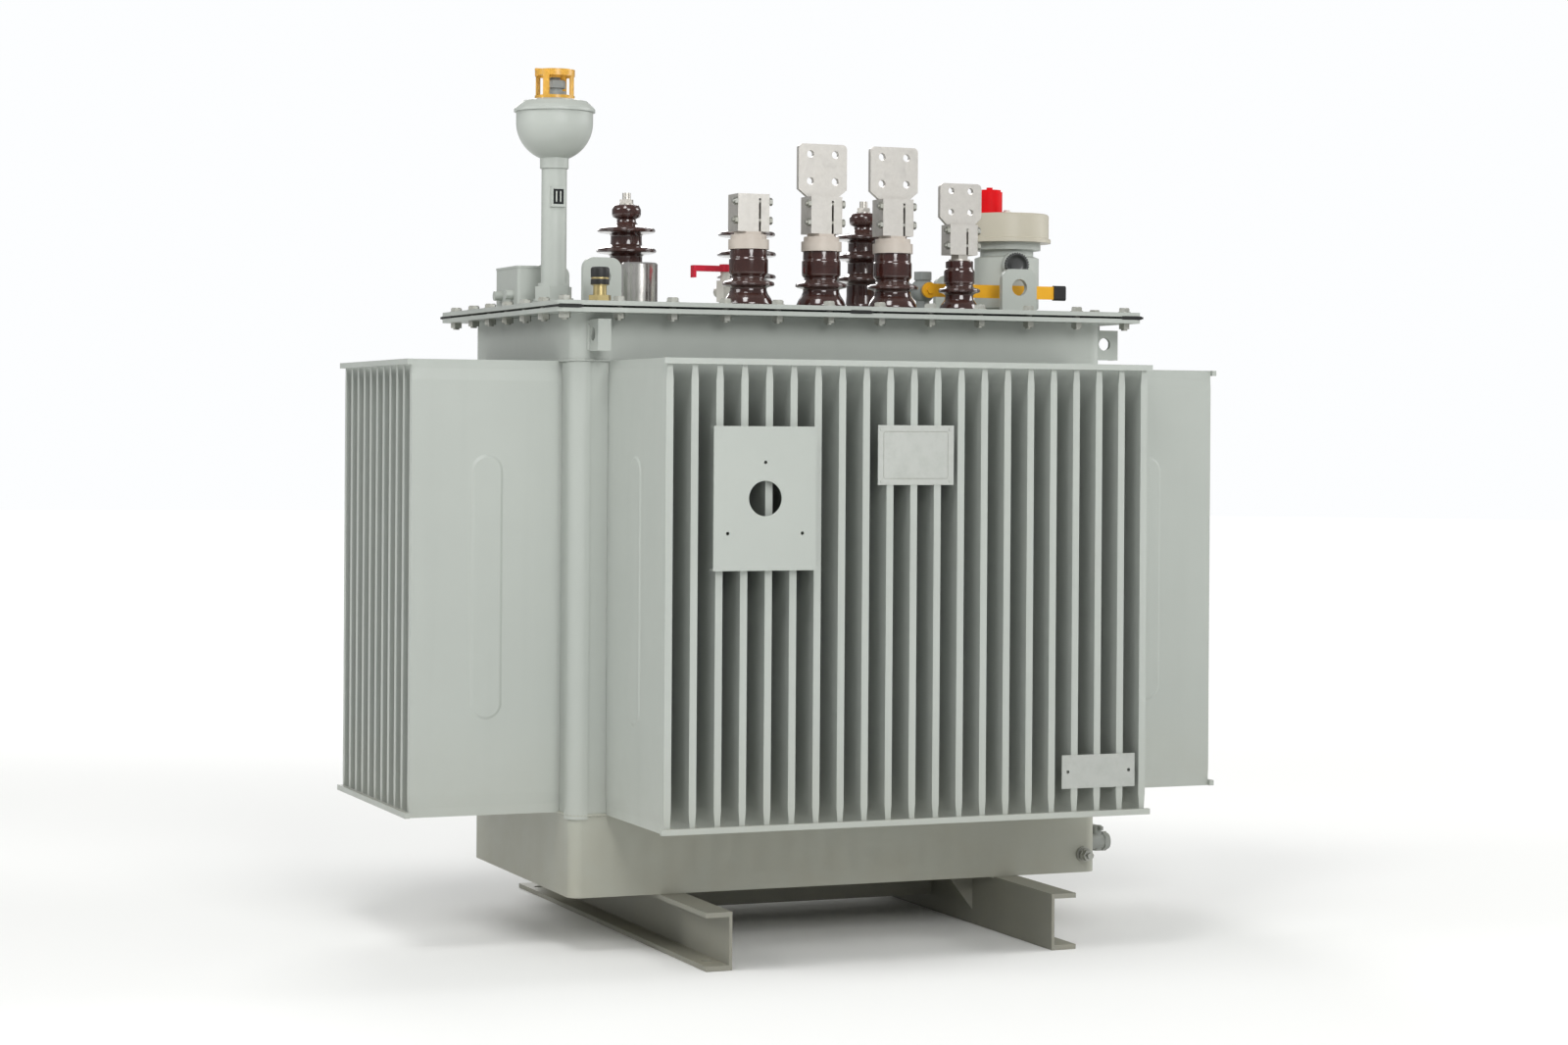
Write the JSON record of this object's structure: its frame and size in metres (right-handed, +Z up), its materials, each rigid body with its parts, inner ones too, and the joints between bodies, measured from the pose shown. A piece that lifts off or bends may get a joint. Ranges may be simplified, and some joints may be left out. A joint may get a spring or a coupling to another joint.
{
  "type": "oil-immersed distribution transformer",
  "caption": "Three-phase oil-filled distribution transformer: corrugated-fin tank on base channels, porcelain bushings, valves, relief device and level gauge on the cover.",
  "frame": {"origin": "centre of the footprint at the resting face of the base channels", "axes": "+Z up, +X along the long side to the relief device, -Y towards the low-voltage side with the gauge plate"},
  "size_m": [1.608, 1.217, 1.589],
  "materials": {
    "tank_paint": "semi-gloss grey-green enamel",
    "pan_paint": "semi-gloss grey-green enamel, dusty",
    "cover_paint": "semi-gloss grey enamel",
    "drum_paint": "beige-grey enamel",
    "gasket_rubber": "matt black nitrile",
    "zinc_steel": "zinc-plated",
    "plate_metal": "blank anodised plate",
    "brass": "machined",
    "copper": "bare copper",
    "porcelain": "dark brown glaze",
    "collar_epoxy": "cast resin, cream",
    "terminal_alu": "tinned cast aluminium",
    "cap_metal": "polished",
    "window_glass": "dark sight glass",
    "float_red": "red float",
    "guard_yellow": "translucent amber plastic",
    "red_plastic": "bright red plastic",
    "white_plastic": "white plastic",
    "valve_grey": "grey",
    "lever_yellow": "yellow enamel",
    "lever_red": "red enamel",
    "black_grip": "dipped grip",
    "core_steel": "stacked electrical steel",
    "spring_steel": "spring wire",
    "winding": "paper-wrapped copper"
  },
  "bodies": {
    "transformer": {"base_channel_left": "pan_paint", "base_channel_right": "pan_paint", "base_stiffeners": "pan_paint", "tank_pan": "pan_paint", "fin_wall_front": "tank_paint", "fin_wall_rear": "tank_paint", "fin_wall_left": "tank_paint", "fin_wall_right": "tank_paint", "corner_posts": "tank_paint", "fin_tie_bars": "tank_paint", "upper_band": "tank_paint", "tank_flange": "tank_paint", "tank_hooks": "tank_paint", "cover_gasket": "gasket_rubber", "cover_plate": "cover_paint", "cover_bolts": "zinc_steel", "lifting_lugs": "tank_paint", "gauge_plate": "cover_paint", "rating_plate": "plate_metal", "earth_stud": "zinc_steel", "drain_cock_body": "brass", "filler_pipe": "tank_paint", "filler_bowl": "tank_paint", "filler_lid": "cover_paint", "level_window": "window_glass", "vent_valve": "valve_grey", "vent_guard": "guard_yellow", "hv_porcelains": "porcelain", "hv_studs": "brass", "lv_porcelains": "porcelain", "neutral_porcelain": "porcelain", "lv_studs": "copper", "lv_collars": "collar_epoxy", "lv_terminal_a": "terminal_alu", "lv_terminal_b": "terminal_alu", "lv_terminal_c": "terminal_alu", "neutral_terminal": "terminal_alu", "clamp_screws": "zinc_steel", "tap_changer_body": "valve_grey", "relief_turret": "tank_paint", "relief_housing": "drum_paint", "relief_spring": "spring_steel", "switch_cap": "red_plastic", "sampling_valve_body": "white_plastic", "filling_valve_body": "brass", "core": "core_steel", "core_clamps": "valve_grey", "windings": "winding", "internal_leads": "copper", "thermometer_pocket": "brass", "wiring_box": "cover_paint"},
    "tap": {"tap_cap": "cap_metal", "tap_rotor": "brass"},
    "red_lever": {"sampling_lever": "lever_red"},
    "yellow_lever": {"filling_lever": "lever_yellow", "lever_grip": "black_grip"},
    "drain_plug": {"drain_cock_plug": "brass"},
    "float": {"level_float": "float_red"},
    "disc": {"relief_disc": "valve_grey"},
    "pin": {"signal_pin": "white_plastic"}
  },
  "joints": [
    {"name": "tap_turn", "type": "hinge", "parent": "transformer", "child": "tap", "pos_m": [-0.266, 0.08, 1.2], "axis": [0, 0, 1], "range_deg": [-60, 60]},
    {"name": "sampling_valve_turn", "type": "hinge", "parent": "transformer", "child": "red_lever", "pos_m": [-0.122, 0, 1.23], "axis": [0, 0, 1], "range_deg": [0, 90]},
    {"name": "filling_valve_turn", "type": "hinge", "parent": "transformer", "child": "yellow_lever", "pos_m": [0.262, -0.088, 1.194], "axis": [0, -1, 0], "range_deg": [0, 90]},
    {"name": "drain_cock_turn", "type": "hinge", "parent": "transformer", "child": "drain_plug", "pos_m": [0.544, -0.25, 0.15], "axis": [0, 0, 1], "range_deg": [0, 90]},
    {"name": "float_rise", "type": "slide", "parent": "transformer", "child": "float", "axis": [0, 0, 1], "range_m": [0, 0.08]},
    {"name": "relief_lift", "type": "slide", "parent": "transformer", "child": "disc", "axis": [0, 0, 1], "range_m": [0, 0.012], "stiffness_N_per_m": 6000, "springref_m": -0.004, "deforming": ["relief_spring"]},
    {"name": "pin_rise", "type": "slide", "parent": "transformer", "child": "pin", "axis": [0, 0, 1], "range_m": [0, 0.012]}
  ],
  "couplings": [
    {"joint": "pin_rise", "follows": "relief_lift", "ratio": 1}
  ]
}
